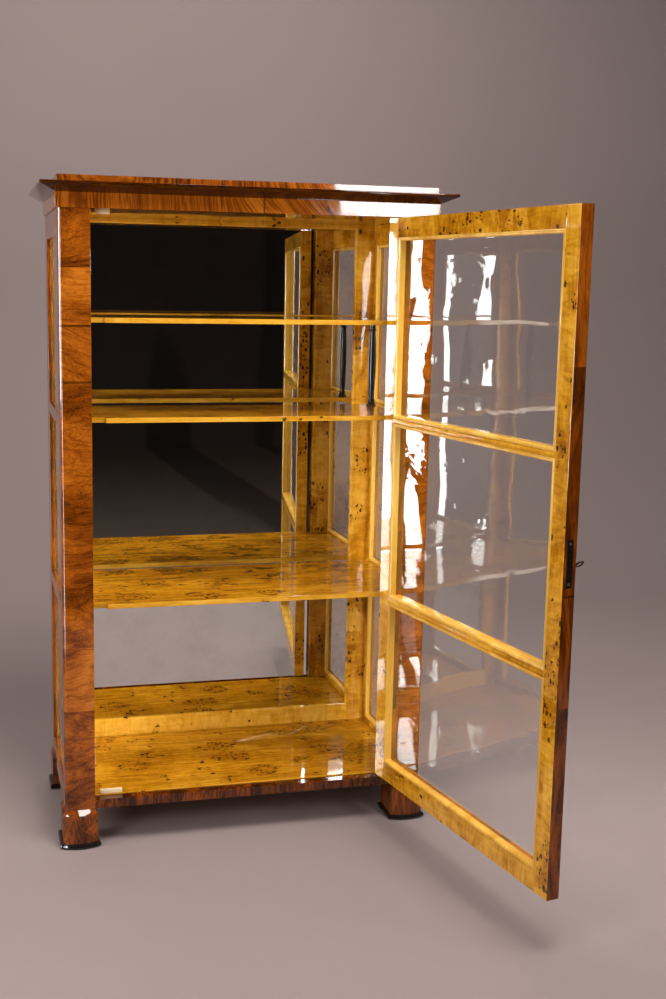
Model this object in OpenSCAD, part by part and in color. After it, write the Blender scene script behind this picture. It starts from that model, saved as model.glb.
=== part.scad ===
// Glazed display cabinet on four block feet, with one framed glass door.
// X runs to the right of the front, Y into the cabinet and Z up.
// The origin is the centre of the cabinet's footprint, on the floor.

/* [Body] */
// Width across the two front posts
body_w = 896; // [800:2:1100]
// Depth from the front of the posts to the back
body_d = 452; // [440:2:560]
// Height from the underside of the body to the underside of the frieze
body_h = 1415; // [1380:5:1600]
// Height of the underside of the body above the floor
leg_h = 93; // [80:1:130]
// Width of a front post
post_w = 72; // [60:1:90]
// Depth of a front post, without its glazing lip
post_d = 37; // [33:1:44]
// Radius of a front post's outer front corner
post_round = 8; // [2:1:16]
// Thickness of the side frames and of the rear posts
side_t = 20; // [18:1:26]
// Depth of a rear post
rear_post_d = 55; // [45:1:75]
// Thickness of the back panel
back_t = 11; // [6:1:16]

/* [Side windows] */
// Height of the top rail of a side frame
side_top_h = 60; // [40:1:90]
// Height of the bottom rail of a side frame
side_bottom_h = 47; // [40:1:80]

/* [Glazing] */
// Thickness of the panes
glass_t = 3; // [2:0.5:4]
// How far the rebate for a pane is cut into a frame member
rebate_w = 8; // [6:1:12]
// Thickness of the lip that a pane rests against
lip_t = 8; // [6:0.5:11]
// How far a glazing bead stands out of its frame
bead_proud = 1.5; // [0:0.5:3]
// Radius of the rounded edge of a glazing bead
bead_round = 5; // [2:0.5:6]
// Width of the groove along the back of a glazing bead
quirk_w = 1.4; // [0.6:0.1:2]
// Depth of the groove along the back of a glazing bead
quirk_d = 2; // [0.5:0.1:3]
// Gap around a pane inside its rebate
pane_gap = 1; // [0.5:0.1:2]
// Width of a glazing bar between the panes
bar_w = 28; // [24:1:36]
// Rise of the rounded rib along a glazing bar
rib_h = 2; // [0.5:0.5:2.5]

/* [Front rail and floor] */
// Height of the front rail under the door
rail_h = 22; // [16:1:34]
// How far the front rail lies behind the posts
rail_inset = 1; // [0:0.5:1]
// Depth of the ledge that the door closes over
ledge_d = 30; // [30:0.5:33]
// Thickness of the floor board
floor_t = 18; // [12:1:20]
// Height of the floor board above the ledge
floor_step = 3; // [1:0.5:4]

/* [Top] */
// Height of the frieze
frieze_h = 34; // [26:1:60]
// How far the frieze stands out past the posts and the sides
frieze_out = 5; // [2:1:12]
// Thickness of the front board of the frieze
frieze_t = 20; // [16:1:24]
// Thickness of the roof board inside the frieze
roof_t = 18; // [12:1:24]
// Height of the cornice's bevel
bevel_h = 16; // [8:1:40]
// How far the cornice stands out past the frieze
cornice_out = 35; // [15:1:60]
// Height of the upright edge of the cornice
fillet_h = 6; // [3:1:12]
// Height of the raised top plate
plate_h = 16; // [8:1:30]
// How far the top plate lies inside the frieze's face
plate_inset = 4; // [0:1:30]

/* [Shelves] */
// Thickness of the shelves
shelf_t = 12; // [8:1:20]
// Height of the lower shelf's top above the floor
shelf_lower_z = 589; // [480:1:700]
// Height of the middle shelf's top above the floor
shelf_middle_z = 1033; // [900:1:1100]
// Height of the upper shelf's top above the floor
shelf_upper_z = 1264; // [1200:1:1330]
// Front edge of the lower shelf behind the posts' faces
shelf_lower_front = 34; // [32:1:60]
// Front edge of the middle shelf behind the posts' faces
shelf_middle_front = 38; // [32:1:60]
// Front edge of the upper shelf behind the posts' faces
shelf_upper_front = 60; // [40:1:75]
// Gap between the lower shelf and the cabinet's back
shelf_lower_gap = 47; // [36:1:120]
// Gap between the middle and upper shelves and the cabinet's back
shelf_short_gap = 114; // [70:1:130]
// Width of a shelf's cut corners, measured from the door's opening
shelf_corner_w = 36; // [36:1:120]
// Depth of the cut corners
shelf_nose_d = 12; // [8:1:20]
// Gap between the end of a shelf and the side frame
shelf_gap = 1.5; // [0.5:0.5:4]
// Width of the battens under the shelves
batten_w = 14; // [8:1:24]
// Height of the battens under the shelves
batten_h = 12; // [8:1:20]
// Length of the short battens under the front of the upper shelf
cleat_l = 55; // [50:1:80]

/* [Columns] */
// Distance of a column from the cabinet's side
column_inset = 60; // [50:1:110]
// Distance of a column from the back edge of the middle shelf
column_back = 38; // [20:1:80]
// Radius of a column's foot
column_r = 12.8; // [11:0.2:15]
// Radius of a column's cap
cap_r = 10.8; // [10:0.2:12]
// Radius of the rings above the foot and under the cap
ring_r = 10.2; // [9.4:0.2:10.8]
// Radius of the shaft at its thickest
shaft_r = 10.4; // [9:0.2:11]
// Radius of the shaft at its ends
neck_r = 7.8; // [6:0.2:8.6]
// Height of the middle of the ring above the foot
foot_ring_h = 13; // [11:0.5:20]
// Distance of the middle of the upper ring from the top
cap_ring_h = 20; // [14:0.5:26]

/* [Mirror] */
// Thickness of the mirror
mirror_t = 4; // [3:0.5:6]
// Thickness of the frame's lip in front of the mirror
mirror_lip_t = 9; // [5:0.5:12]
// Width of the mirror frame's upright members
mirror_stile_w = 52; // [45:1:80]
// Height of the mirror frame's bottom rail
mirror_bottom_h = 47; // [30:1:80]
// Height of the mirror frame's top rail
mirror_top_h = 13; // [12:1:50]
// Width of the bevel around the mirror
mirror_bevel = 3; // [1:0.5:5]

/* [Feet] */
// Height of the black pads
pad_h = 13; // [8:1:20]
// How far a pad stands out past its foot
pad_out = 7; // [3:1:12]
// How far a foot stands out past the post and the side
foot_out = 5.5; // [2:0.5:12]
// How far a front foot's corners stand forward of the post
foot_front = 4; // [2:0.5:12]
// Rise of the curved front of a front foot
foot_bow = 10; // [4:1:20]
// Height of the bevel on top of a foot
foot_bevel_h = 10; // [5:1:18]
// Depth of a foot
foot_d = 76; // [60:1:100]

/* [Door] */
// Thickness of the door's frame
door_t = 29.5; // [26:0.5:30]
// Width of the door's stiles and rails
stile_w = 53; // [50:1:70]
// Thickness of the door's lip in front of the panes
door_lip_t = 11; // [8:0.5:14]
// Gap between the door's edges and the posts
door_gap = 2; // [1:0.5:3]
// Gap over the door
door_top_gap = 2; // [1.5:0.5:4]
// Gap under the door
door_bottom_gap = 4; // [3.5:0.5:6]
// Angle that the door stands open
door_open = 100; // [0:1:130]
// Distance of the door stops from the left post
stop_inset = 15; // [8:1:30]
// Length of the lower door stop
stop_low_l = 53; // [20:1:60]
// Height of the lower door stop
stop_low_h = 9; // [8:1:16]
// Depth of the lower door stop
stop_low_d = 10; // [6:1:10]
// Length of the upper door stop
stop_high_l = 32; // [20:1:60]
// Height of the upper door stop
stop_high_h = 11; // [8:1:16]
// Depth of the upper door stop
stop_high_d = 12; // [6:1:16]
// Gap between the closed door and the door stops
stop_gap = 0.4; // [0.3:0.1:1]

/* [Hinges] */
// Distance of the pivot from the door's edge
pivot_a = 15; // [12:0.5:16]
// Distance of the pivot behind the door's outer face
pivot_b = 6.5; // [6:0.5:7]
// Radius of the hinge pins
hinge_pin_r = 3; // [2:0.25:3.5]
// Clearance of a hinge pin in its hole
pin_fit = 0.06; // [0.03:0.01:0.1]
// Length of a hinge leaf
leaf_l = 34; // [26:1:35]
// Width of a hinge leaf
leaf_w = 10; // [8:0.5:10]
// Thickness of a hinge leaf
leaf_t = 2.5; // [1.5:0.5:4]
// Depth that a hinge pin enters the door
pin_depth = 10; // [6:1:16]

/* [Lock] */
// Height of the lock's centre above the floor
lock_z = 818; // [700:1:950]
// Height of the lock's face plate
plate_l = 97; // [80:1:130]
// Width of the lock's face plate
plate_w = 14; // [13:0.5:16]
// Thickness of the lock's face plate
lock_plate_t = 2.5; // [1.5:0.5:4]
// Distance of the plate's edge behind the door's outer face
plate_y = 8; // [3:0.5:8.5]
// Height of the lock's case
case_h = 64; // [50:1:76]
// Depth of the lock's case behind its plate
case_d = 38; // [36:1:42]
// Thickness of the lock's case
case_t = 12; // [11:0.5:13]
// Wall of the lock's case
case_wall = 1.4; // [1:0.1:1.6]
// Height of the bolt
bolt_h = 16; // [10:1:22]
// Thickness of the bolt
bolt_t = 4.2; // [3:0.1:4.4]
// Length of the bolt
bolt_l = 19; // [16:0.5:20]
// Travel of the bolt
bolt_throw = 10; // [6:0.5:12]
// Distance of the key's axis from the door's edge
backset = 25; // [24:0.5:27]
// Height of the key's axis under the lock's centre
key_drop = 8; // [0:1:14]
// Angle that the key stands turned
key_turned = 48; // [0:1:90]
// Radius of the key's shank
shank_r = 2.2; // [1.8:0.1:2.6]
// Reach of the key's bit from its axis
bit_reach = 9; // [6:0.5:9.5]
// Thickness of the key's bit
bit_t = 2.4; // [1.6:0.1:2.6]
// Distance of the key's bow from the door's outer face
bow_out = 27; // [24:1:40]
// Middle radius of the rounded ends of the key's bow
bow_r = 6.8; // [6:0.2:9]
// Length of the straight sides of the key's bow
bow_side = 5; // [2:0.5:10]
// Radius of the wire of the key's bow
bow_wire_r = 1.8; // [1.2:0.1:2.4]
// Gap around the bolt in its openings
bolt_gap = 0.4; // [0.2:0.1:0.8]
// Thickness of the strike plate
strike_t = 1.5; // [1:0.5:3]
// Height of the strike plate
strike_l = 60; // [40:1:80]

/* [Hidden] */
$fn = 48;

// Colours
walnut = "#7a3f16";
dark_walnut = "#3a1c0e";
burl = "#d1892e";
maple = "#ecd09a";
ebony = "#141110";
glass = [0.8, 0.86, 0.86, 0.35];
silver = [0.75, 0.78, 0.78];
brass = "#b08d4a";
iron = "#2b2a29";

// Planes of the body
front = -body_d / 2;
back = body_d / 2;
half_w = body_w / 2;
side_x = half_w - side_t;
open_x = half_w - post_w;
ledge_z = leg_h + rail_h;
floor_z = ledge_z + floor_step;
ceiling_z = leg_h + body_h;
frieze_top_z = ceiling_z + frieze_h;
bevel_top_z = frieze_top_z + bevel_h;
cornice_top_z = bevel_top_z + fillet_h;
rear_post_y = back - rear_post_d;
panel_y = back - back_t;
mirror_y = panel_y - mirror_t;
mirror_frame_y = mirror_y - mirror_lip_t;

// Glazing: the core of a member is what lies behind its lip
bead_w = rebate_w + 1;
side_pane_y0 = front + post_d + rebate_w;
side_pane_y1 = rear_post_y;
side_pane_w = side_pane_y1 - side_pane_y0;
side_pane_z0 = leg_h + side_bottom_h;
side_pane_z1 = ceiling_z - side_top_h;

// Door, closed
door_x = open_x - door_gap;
door_z0 = ledge_z + door_bottom_gap;
door_z1 = ceiling_z - door_top_gap;
door_pane_x = door_x - stile_w;
door_pane_z0 = door_z0 + stile_w;
door_pane_z1 = door_z1 - stile_w;
pivot = [door_x - pivot_a, front + pivot_b, 0];

// Bars stand level with the lower and middle shelves
bar_zs = [shelf_lower_z - shelf_t / 2, shelf_middle_z - shelf_t / 2];
side_pane_zs = pane_spans(side_pane_z0, side_pane_z1);
door_pane_zs = pane_spans(door_pane_z0, door_pane_z1);

// Lock
key_x = -door_x + backset;
key_z = lock_z - key_drop;
bolt_y = front + plate_y + plate_w / 2;
case_y = bolt_y - case_t / 2;
bolt_layer_y = bolt_y - bolt_t / 2 - 0.9;
bit_y = bolt_layer_y + bolt_t + 0.5;
key_end_y = bit_y + bit_t;
keyhole_r = shank_r + 1.4;
keyhole_w = 3.4;

foot_w = post_w + 2 * foot_out;
foot_x = half_w - post_w / 2;
foot_top_z = leg_h - foot_bevel_h;
column_h = shelf_upper_z - shelf_t - shelf_middle_z;
column_x = half_w - column_inset;
column_y = back - shelf_short_gap - column_back;
shelf_nose_x = open_x - shelf_corner_w;
screw_z = plate_l / 2 - 8;

// The lower and upper edge of each of the three panes in a glazed frame
function pane_spans(z0, z1) = [
    [z0, bar_zs[0] - bar_w / 2],
    [bar_zs[0] + bar_w / 2, bar_zs[1] - bar_w / 2],
    [bar_zs[1] + bar_w / 2, z1],
];

// A box between two opposite corners
module block(a, b) {
    translate(a) cube(b - a);
}

// The same piece on the right
module on_right() {
    mirror([1, 0, 0]) children();
}

// The door and what it carries, turned about the pivot
module opened() {
    translate(pivot) rotate([0, 0, door_open]) translate(-pivot) children();
}

// ---- Front posts ----
module post_plan() {
    // Left post, seen from above
    x0 = -half_w;
    translate([x0 + post_round, front + post_round]) circle(r = post_round);
    translate([x0 + post_round, front]) square([post_w - post_round, post_d]);
    translate([x0, front + post_round]) square([post_w, post_d - post_round]);
    translate([x0, front + post_d - 1]) square([lip_t, rebate_w + 1]);
}

module front_post() {
    translate([0, 0, leg_h]) linear_extrude(body_h) post_plan();
}

module front_post_left() {
    pocket_x = bolt_throw + 4;
    color(walnut) difference() {
        front_post();
        // Recess for the strike plate and pocket for the bolt
        block([-open_x - strike_t, bolt_y - plate_w / 2, lock_z - strike_l / 2],
              [-open_x + 1, bolt_y + plate_w / 2, lock_z + strike_l / 2]);
        block([-open_x - pocket_x, bolt_layer_y - 1, lock_z - bolt_h / 2 - 1.5],
              [-open_x, bolt_layer_y + bolt_t + 1, lock_z + bolt_h / 2 + 1.5]);
    }
}

module front_post_right() {
    color(walnut) on_right() front_post();
}

// ---- Side frames: the left one, mirrored for the right ----
module rear_post() {
    // Its front inner edge is cut back for the panes
    block([-half_w, rear_post_y, leg_h], [-half_w + lip_t, back, ceiling_z]);
    block([-half_w + lip_t - 0.5, rear_post_y + rebate_w, leg_h], [-side_x, back, ceiling_z]);
}

// A member between the post and the rear post, with its rebates
module side_member(z0, z1, low, high) {
    block([-half_w, side_pane_y0, z0], [-half_w + lip_t, side_pane_y1, z1]);
    block([-half_w + lip_t - 0.5, side_pane_y0 - rebate_w, z0 + low],
          [-side_x, side_pane_y1 + rebate_w, z1 - high]);
}

module side_top_rail() {
    difference() {
        side_member(side_pane_z1, ceiling_z, rebate_w, 0);
        side_lip_relief(side_pane_z1, ceiling_z);
    }
}

module side_bottom_rail() {
    difference() {
        side_member(leg_h, side_pane_z0, 0, rebate_w);
        side_lip_relief(leg_h, side_pane_z0);
    }
}

// Clears a member's overlap with the lips of the two posts
module side_lip_relief(z0, z1) {
    block([-half_w - 1, front, z0 - 1], [-half_w + lip_t, side_pane_y0, z1 + 1]);
    block([-half_w - 1, side_pane_y1, z0 - 1], [-half_w + lip_t, back, z1 + 1]);
}

module side_bars() {
    for (z = bar_zs)
        difference() {
            side_member(z - bar_w / 2, z + bar_w / 2, rebate_w, rebate_w);
            side_lip_relief(z - bar_w / 2, z + bar_w / 2);
        }
}

module side_panes() {
    g = rebate_w - pane_gap;
    for (s = side_pane_zs)
        block([-half_w + lip_t, side_pane_y0 - g, s[0] - g],
              [-half_w + lip_t + glass_t, side_pane_y1 + g, s[1] + g]);
}

module side_beads() {
    for (s = side_pane_zs)
        translate([-half_w + lip_t + glass_t, (side_pane_y0 + side_pane_y1) / 2, (s[0] + s[1]) / 2])
            rotate([90, 0, 90])
                bead_ring(side_pane_w, s[1] - s[0], side_t - lip_t - glass_t + bead_proud);
}

// ---- Glazing beads ----
// Section of a bead: X runs from the rebate towards the pane, Y away from the glass
module bead_section(t) {
    r = min(bead_round, t - 1, bead_w - quirk_w - 1);
    square([bead_w - r, t - quirk_d]);
    translate([quirk_w, 0]) square([bead_w - r - quirk_w, t]);
    square([bead_w, t - r]);
    translate([bead_w - r, t - r]) circle(r = r);
}

// Section of the rib along a bar: X runs into the cabinet, Y upwards
module rib_section(w) {
    r = (w * w / 4 + rib_h * rib_h) / (2 * rib_h);
    intersection() {
        translate([rib_h - r, 0]) circle(r = r);
        translate([-1, -w / 2]) square([rib_h + 2, w]);
    }
}

// One bead of a given length, with mitred ends, along X
module bead(l, t) {
    intersection() {
        translate([-l / 2, 0, 0]) rotate([90, 0, 90]) linear_extrude(l) bead_section(t);
        translate([0, 0, -1]) linear_extrude(t + 2)
            polygon([[-l / 2, 0], [l / 2, 0], [l / 2 - bead_w, bead_w], [-l / 2 + bead_w, bead_w]]);
    }
}

// Four beads around an opening of w by h, seated in its rebate
module bead_ring(w, h, t) {
    full_w = w + 2 * rebate_w;
    full_h = h + 2 * rebate_w;
    for (i = [0, 1]) {
        rotate([0, 0, 180 * i]) translate([0, -full_h / 2, 0]) bead(full_w, t);
        rotate([0, 0, 90 + 180 * i]) translate([0, -full_w / 2, 0]) bead(full_h, t);
    }
}

// ---- Body boards ----
module front_rail() {
    y0 = front + rail_inset;
    leaf_x = pivot[0] - leaf_l + leaf_w / 2;
    color(dark_walnut) difference() {
        block([-open_x, y0, leg_h], [open_x, front + ledge_d, ledge_z]);
        // Recess for the lower hinge leaf
        block([leaf_x, pivot[1] - leaf_w / 2, ledge_z - leaf_t],
              [open_x + 1, pivot[1] + leaf_w / 2, ledge_z + 1]);
    }
}

module floor_board() {
    // The board reaches forward between the posts to the ledge
    z0 = floor_z - floor_t;
    color(burl) union() {
        block([-open_x, front + ledge_d, z0], [open_x, front + post_d + 1, floor_z]);
        block([-side_x, front + post_d, z0], [side_x, panel_y, floor_z]);
    }
}

module roof_board() {
    color(burl) block([-side_x, front - frieze_out + frieze_t, ceiling_z],
                      [side_x, panel_y, ceiling_z + roof_t]);
}

module back_panel() {
    color(dark_walnut) block([-side_x, panel_y, leg_h], [side_x, back, frieze_top_z]);
}

// ---- Top ----
module frieze_front() {
    x = half_w + frieze_out;
    leaf_x = pivot[0] - leaf_l + leaf_w / 2;
    color(walnut) difference() {
        block([-x, front - frieze_out, ceiling_z], [x, front - frieze_out + frieze_t, frieze_top_z]);
        // Recess for the upper hinge leaf
        block([leaf_x, pivot[1] - leaf_w / 2, ceiling_z - 1],
              [leaf_x + leaf_l, pivot[1] + leaf_w / 2, ceiling_z + leaf_t]);
    }
}

module frieze_side() {
    block([-half_w - frieze_out, front - frieze_out + frieze_t, ceiling_z],
          [-side_x, back, frieze_top_z]);
}

module cornice() {
    // The bevels of the front and of the sides meet in mitres
    x0 = half_w + frieze_out;
    x1 = x0 + cornice_out;
    y0 = front - frieze_out;
    y1 = y0 - cornice_out;
    color(walnut) intersection() {
        translate([0, back, 0]) rotate([90, 0, 0]) linear_extrude(back - y1)
            polygon([[-x0, frieze_top_z], [x0, frieze_top_z], [x1, bevel_top_z],
                     [x1, cornice_top_z], [-x1, cornice_top_z], [-x1, bevel_top_z]]);
        translate([-x1, 0, 0]) rotate([90, 0, 90]) linear_extrude(2 * x1)
            polygon([[y0, frieze_top_z], [back, frieze_top_z], [back, cornice_top_z],
                     [y1, cornice_top_z], [y1, bevel_top_z]]);
    }
}

module top_plate() {
    x = half_w + frieze_out - plate_inset;
    color(walnut) block([-x, front - frieze_out + plate_inset, cornice_top_z],
                        [x, back, cornice_top_z + plate_h]);
}

// ---- Mirror ----
mirror_x = side_x - mirror_stile_w;
mirror_z0 = floor_z + mirror_bottom_h;
mirror_z1 = ceiling_z - mirror_top_h;

module mirror_glass() {
    g = rebate_w - pane_gap;
    color(silver) block([-mirror_x - g, mirror_y, mirror_z0 - g], [mirror_x + g, panel_y, mirror_z1 + g]);
}

// Section of a frame member: X runs from the mirror outwards, Y into the cabinet
module mirror_section(w) {
    polygon([[mirror_bevel, 0], [w, 0], [w, mirror_lip_t + mirror_t], [rebate_w, mirror_lip_t + mirror_t],
             [rebate_w, mirror_lip_t], [0, mirror_lip_t], [0, mirror_bevel]]);
}

module mirror_stile() {
    translate([-mirror_x, mirror_frame_y, floor_z]) mirror([1, 0, 0])
        linear_extrude(ceiling_z - floor_z) mirror_section(mirror_stile_w);
}

// A rail laid along X whose shoulders follow the stiles' section
module mirror_rail(h) {
    difference() {
        translate([-mirror_x - rebate_w, 0, 0]) rotate([90, 0, 90])
            linear_extrude(2 * (mirror_x + rebate_w)) mirror([1, 0]) rotate(90) mirror_section(h);
        mirror_shoulder();
        on_right() mirror_shoulder();
    }
}

module mirror_shoulder() {
    translate([-mirror_x, 0, -1]) mirror([1, 0, 0]) linear_extrude(mirror_stile_w + mirror_bottom_h + 2)
        polygon([[0, mirror_bevel], [mirror_bevel, 0], [mirror_bevel, -1], [rebate_w + 1, -1],
                 [rebate_w + 1, mirror_lip_t], [0, mirror_lip_t]]);
}

module mirror_bottom_rail() {
    color(burl) translate([0, mirror_frame_y, mirror_z0]) mirror([0, 0, 1]) mirror_rail(mirror_bottom_h);
}

module mirror_top_rail() {
    color(burl) translate([0, mirror_frame_y, mirror_z1]) mirror_rail(mirror_top_h);
}

// ---- Shelves ----
module shelf(y0, y1, z) {
    // From y0 behind the front to y1; the front corners are cut back
    translate([0, 0, z - shelf_t]) linear_extrude(shelf_t) {
        translate([-shelf_nose_x, front + y0]) square([2 * shelf_nose_x, shelf_nose_d + 1]);
        translate([-side_x + shelf_gap, front + y0 + shelf_nose_d])
            square([2 * (side_x - shelf_gap), y1 - front - y0 - shelf_nose_d]);
    }
}

module shelf_upper() {
    color(burl) shelf(shelf_upper_front, back - shelf_short_gap, shelf_upper_z);
}

module shelf_middle() {
    color(burl) shelf(shelf_middle_front, back - shelf_short_gap, shelf_middle_z);
}

module shelf_lower() {
    color(burl) shelf(shelf_lower_front, back - shelf_lower_gap, shelf_lower_z);
}

// Long battens under two shelves, between post and mirror frame, and short ones at the top
module shelf_battens() {
    x0 = side_x - bead_proud - 0.1;
    color(burl) for (m = [0, 1]) mirror([m, 0, 0]) {
        for (z = [shelf_lower_z, shelf_middle_z])
            block([-x0, front + post_d, z - shelf_t - batten_h],
                  [-x0 + batten_w, mirror_frame_y, z - shelf_t]);
        block([-x0, front + post_d, shelf_upper_z - shelf_t - batten_h],
              [-x0 + 2 * batten_w, front + post_d + cleat_l, shelf_upper_z - shelf_t]);
    }
}

// ---- Turned columns ----
disc_h = 5;
cove_h = 3.4;
ring_d = 4.6;
shaft_l = column_h - foot_ring_h - cap_ring_h;
// Above 1, the shaft is thickest in its upper half
swell_power = 1.2;

// Radius of the shaft at t, from 0 at the lower ring to 1 at the upper one
function shaft_radius(t) = neck_r + (shaft_r - neck_r) * sin(180 * pow(t, swell_power));

// Half outline of a round-edged disc with a cove, and a ring at height h
module column_end(r, h) {
    square([r - disc_h / 2, disc_h]);
    translate([r - disc_h / 2, disc_h / 2]) circle(d = disc_h);
    polygon([[0, disc_h - 1], [r - disc_h / 2, disc_h - 1], [r - disc_h / 2, disc_h],
             [neck_r, disc_h + cove_h], [0, disc_h + cove_h]]);
    square([neck_r, h]);
    translate([ring_r - ring_d / 2, h]) circle(d = ring_d);
}

module column() {
    steps = 16;
    translate([-column_x, column_y, shelf_middle_z]) rotate_extrude() {
        column_end(column_r, foot_ring_h);
        translate([0, column_h]) mirror([0, 1]) column_end(cap_r, cap_ring_h);
        translate([0, foot_ring_h]) polygon(concat([[0, 0]],
            [for (i = [0:steps]) [shaft_radius(i / steps), shaft_l * i / steps]], [[0, shaft_l]]));
    }
}

// ---- Feet ----
// Plan of a front foot about the post's middle, grown all round by e
module front_foot_plan(e) {
    w = foot_w + 2 * e;
    r = (foot_w * foot_w / 4 + foot_bow * foot_bow) / (2 * foot_bow) + e;
    y0 = front - foot_front - foot_bow - e;
    intersection() {
        translate([-w / 2, y0]) square([w, foot_d + foot_front + foot_bow + 2 * e]);
        translate([0, y0 + r]) circle(r = r, $fn = 128);
    }
}

module front_foot_outline(e) {
    // The curve shapes the front only
    y1 = front - foot_front + foot_bow;
    front_foot_plan(e);
    translate([-foot_w / 2 - e, y1]) square([foot_w + 2 * e, front + foot_d + e - y1]);
}

module rear_foot_outline(e) {
    translate([-foot_w / 2 - e, back - foot_d - e]) square([foot_w + 2 * e, foot_d + e]);
}

module front_foot() {
    translate([-foot_x, 0, pad_h]) linear_extrude(foot_top_z - pad_h) front_foot_outline(0);
    // Bevel up to the post and the side frame
    hull() {
        translate([-foot_x, 0, foot_top_z]) linear_extrude(0.01) front_foot_plan(0);
        translate([-foot_x, 0, foot_top_z]) linear_extrude(0.01) front_foot_outline(0);
        block([-half_w, front, leg_h - 0.01], [-half_w + post_w, front + foot_d, leg_h]);
    }
}

module rear_foot() {
    translate([-foot_x, 0, pad_h]) linear_extrude(foot_top_z - pad_h) rear_foot_outline(0);
    hull() {
        translate([-foot_x, 0, foot_top_z]) linear_extrude(0.01) rear_foot_outline(0);
        block([-half_w, back - foot_d + foot_out, leg_h - 0.01], [-half_w + post_w, back, leg_h]);
    }
}

// Pad with a rounded nosing
module pad(rear) {
    nose = pad_h / 2;
    translate([-foot_x, 0, 0]) hull() for (a = [-75, -40, 0, 40, 75]) {
        e = pad_out - nose * (1 - cos(a));
        z = nose + nose * sin(a) / sin(75);
        translate([0, 0, z * (1 - 0.01 / pad_h)]) linear_extrude(0.01)
            if (rear) rear_foot_outline(e);
            else front_foot_outline(e);
    }
}

module front_pads() {
    color(ebony) for (m = [0, 1]) mirror([m, 0, 0]) pad(false);
}

module rear_pads() {
    color(ebony) for (m = [0, 1]) mirror([m, 0, 0]) pad(true);
}

// ---- Small fittings of the body ----
module door_stops() {
    x = -open_x + stop_inset;
    y = front + door_t + stop_gap;
    color(maple) {
        block([x, y, floor_z], [x + stop_low_l, y + stop_low_d, floor_z + stop_low_h]);
        block([x, y, ceiling_z - stop_high_h], [x + stop_high_l, y + stop_high_d, ceiling_z]);
    }
}

module strike_plate() {
    color(brass) difference() {
        block([-open_x - strike_t, bolt_y - plate_w / 2, lock_z - strike_l / 2],
              [-open_x, bolt_y + plate_w / 2, lock_z + strike_l / 2]);
        block([-open_x - 5, bolt_layer_y - 1, lock_z - bolt_h / 2 - 1.5],
              [-open_x + 1, bolt_layer_y + bolt_t + 1, lock_z + bolt_h / 2 + 1.5]);
    }
}

// Leaf of a pivot hinge: round at the pivot, square at the other end
module leaf(t) {
    translate([pivot[0], pivot[1], 0]) linear_extrude(t) {
        circle(d = leaf_w);
        translate([-leaf_l + leaf_w / 2, -leaf_w / 2]) square([leaf_l - leaf_w / 2, leaf_w]);
    }
}

module hinge_leaves_frame() {
    collar_h = door_bottom_gap - 0.2;
    color(brass) {
        // Lower leaf in the front rail, whose collar carries the door
        translate([0, 0, ledge_z - leaf_t]) leaf(leaf_t);
        translate([pivot[0], pivot[1], ledge_z - 0.5]) cylinder(r = hinge_pin_r + 1.5, h = collar_h + 0.5);
        translate([pivot[0], pivot[1], ledge_z - 0.5])
            cylinder(r = hinge_pin_r, h = door_bottom_gap + pin_depth + 0.5);
        // Upper leaf in the frieze
        translate([0, 0, ceiling_z]) leaf(leaf_t);
        translate([pivot[0], pivot[1], door_z1 - pin_depth])
            cylinder(r = hinge_pin_r, h = pin_depth + door_top_gap + 0.5);
    }
}

// ---- Door, drawn closed and then opened ----
module door_leaf(z) {
    difference() {
        translate([0, 0, z]) leaf(leaf_t);
        translate([pivot[0], pivot[1], z - 1]) cylinder(r = hinge_pin_r + pin_fit, h = leaf_t + 2);
    }
}

module hinge_leaves_door() {
    color(brass) opened() {
        door_leaf(door_z0);
        door_leaf(door_z1 - leaf_t);
    }
}

// A stile at the left edge of the door: its core is cut back for the panes
module door_stile() {
    y1 = front + door_lip_t;
    block([-door_x, front, door_z0], [-door_pane_x, y1, door_z1]);
    block([-door_x, y1 - 0.5, door_z0], [-door_pane_x - rebate_w, front + door_t, door_z1]);
}

module door_stile_hinge() {
    color(walnut) opened() difference() {
        on_right() door_stile();
        // Seats of the hinge leaves and holes for the pins
        for (z = [door_z0 - 1, door_z1 - leaf_t])
            translate([0, 0, z]) leaf(leaf_t + 1);
        for (z = [door_z0, door_z1 - pin_depth - 1])
            translate([pivot[0], pivot[1], z]) cylinder(r = hinge_pin_r + 0.5, h = pin_depth + 1);
    }
}

module keyhole(r, w, reach) {
    circle(r = r);
    translate([-w / 2, -reach]) square([w, reach]);
}

// Extrudes a shape drawn about the key's axis from y0 to y1
module along_key(y0, y1) {
    translate([key_x, y1, key_z]) rotate([90, 0, 0]) linear_extrude(y1 - y0) children();
}

module door_stile_lock() {
    color(walnut) opened() difference() {
        door_stile();
        // Seats of the face plate and the case, and the keyhole
        block([-door_x - 1, front + plate_y, lock_z - plate_l / 2],
              [-door_x + lock_plate_t, front + plate_y + plate_w, lock_z + plate_l / 2]);
        block([-door_x, case_y, lock_z - case_h / 2],
              [-door_x + lock_plate_t + case_d, case_y + case_t, lock_z + case_h / 2]);
        along_key(front - 1, case_y + 1) keyhole(keyhole_r, keyhole_w, bit_reach + 1.5);
        along_key(front - 1, front + 2) keyhole(keyhole_r + 2, keyhole_w + 4, bit_reach + 3.5);
    }
}

// A rail between the stiles: its lip ends at their lips, its core at their cores
module door_member(z0, z1, low, high) {
    y1 = front + door_lip_t;
    block([-door_pane_x, front, z0], [door_pane_x, y1, z1]);
    difference() {
        block([-door_pane_x - rebate_w, y1 - 0.5, z0 + low],
              [door_pane_x + rebate_w, front + door_t, z1 - high]);
        for (m = [0, 1]) mirror([m, 0, 0])
            block([-door_pane_x - rebate_w - 1, y1 - 1, z0 - 1], [-door_pane_x, y1, z1 + 1]);
    }
}

module door_rail_top() {
    color(walnut) opened() door_member(door_pane_z1, door_z1, rebate_w, 0);
}

module door_rail_bottom() {
    color(walnut) opened() door_member(door_z0, door_pane_z0, 0, rebate_w);
}

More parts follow.
